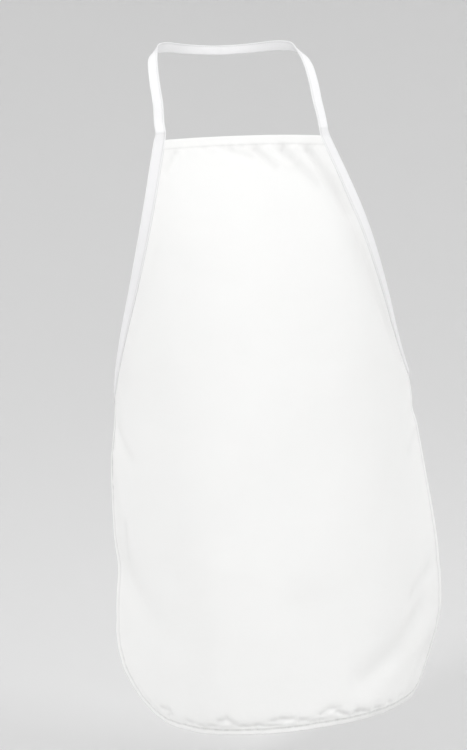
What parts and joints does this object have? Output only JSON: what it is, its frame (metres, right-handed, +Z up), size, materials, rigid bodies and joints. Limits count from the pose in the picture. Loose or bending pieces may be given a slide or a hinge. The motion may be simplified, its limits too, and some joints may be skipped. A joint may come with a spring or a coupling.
{
  "type": "bib apron",
  "caption": "White cloth bib apron hanging as worn: flat hemmed bib, concave taped arm curves, rounded skirt, tape neck loop and knotted waist ties.",
  "frame": {"origin": "middle of the neck strap at the back of the neck, where the apron hangs", "axes": "+Z up, -Y the way the wearer faces, +X to the right as seen from the front"},
  "size_m": [0.4327, 0.2535, 0.8675],
  "materials": {
    "cloth": "plain woven poly-cotton, matte white",
    "tape": "folded cotton tape, matte white"
  },
  "bodies": {
    "root": {"body_panel": "cloth", "bib_hem": "cloth", "skirt_hem": "cloth", "arm_binding_left": "tape", "arm_binding_right": "tape", "neck_strap": "tape", "waist_tie_left": "tape", "waist_tie_right": "tape", "tie_knot": "tape", "tie_tail_left": "tape", "tie_tail_right": "tape"}
  },
  "joints": []
}
